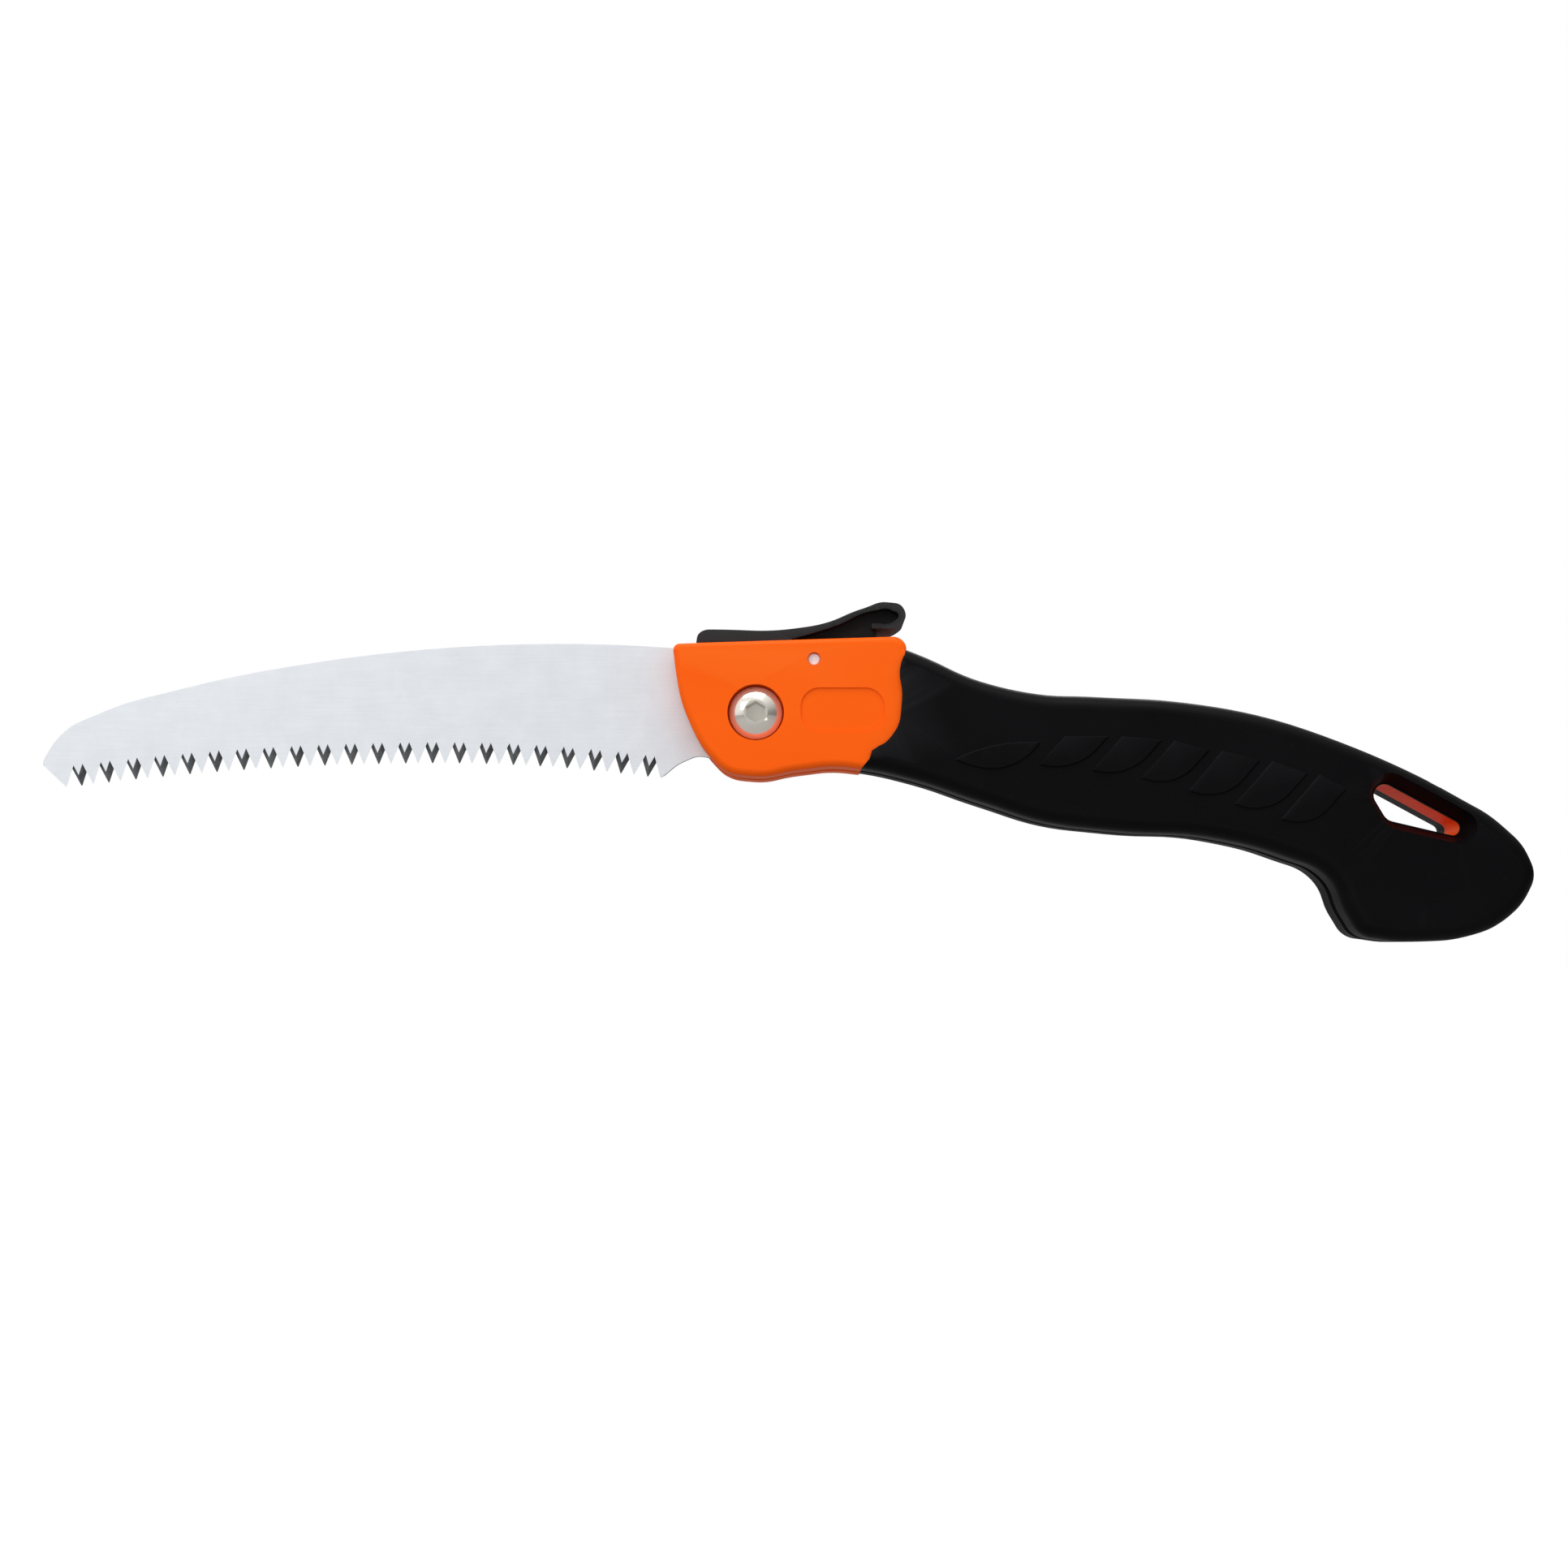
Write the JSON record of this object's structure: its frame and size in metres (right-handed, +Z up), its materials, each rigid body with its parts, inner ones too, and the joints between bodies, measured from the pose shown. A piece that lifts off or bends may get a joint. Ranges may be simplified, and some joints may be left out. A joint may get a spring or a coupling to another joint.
{
  "type": "folding pruning saw",
  "caption": "Folding pruning saw with a curved-back toothed blade, an orange core, a black soft grip and a sprung thumb lock.",
  "frame": {"origin": "on the blade pivot's axis, in the blade's mid-plane, with the saw open", "axes": "+X from the pivot towards the butt of the handle (blade tip at -X), +Z up away from the teeth, Y across the thickness"},
  "size_m": [0.3965, 0.022, 0.0906],
  "materials": {
    "blade": "satin ground carbon steel, bright ground teeth",
    "core": "moulded orange plastic, low sheen",
    "grip": "black soft overmould, satin",
    "lever": "black moulded plastic, fine matte grain",
    "nickel": "bright nickel plate",
    "steel": "plain machined steel",
    "pin": "bright turned pin",
    "washer": "natural nylon",
    "spring": "drawn spring wire"
  },
  "bodies": {
    "handle": {"core_left": "core", "core_right": "core", "grip": "grip", "core_screws": "steel", "pivot_bolt": "nickel", "pivot_bush": "steel", "washer_left": "washer", "washer_right": "washer", "pivot_nut": "nickel", "nut_collar": "washer", "lever_pin": "pin", "lever_spring": "spring"},
    "blade": {"blade": "blade"},
    "lever": {"lock_lever": "lever", "lock_pawl": "steel", "pawl_pins": "steel"}
  },
  "joints": [
    {"name": "blade_fold", "type": "hinge", "parent": "handle", "child": "blade", "pos_m": [0, 0, 0], "axis": [0, -1, 0], "range_deg": [0, 161]},
    {"name": "lever_press", "type": "hinge", "parent": "handle", "child": "lever", "pos_m": [0.0155, 0, 0.0143], "axis": [0, 1, 0], "range_deg": [0, 5.5], "stiffness_Nm_per_rad": 0.15, "springref_deg": -17.19, "deforming": ["lever_spring"]}
  ]
}
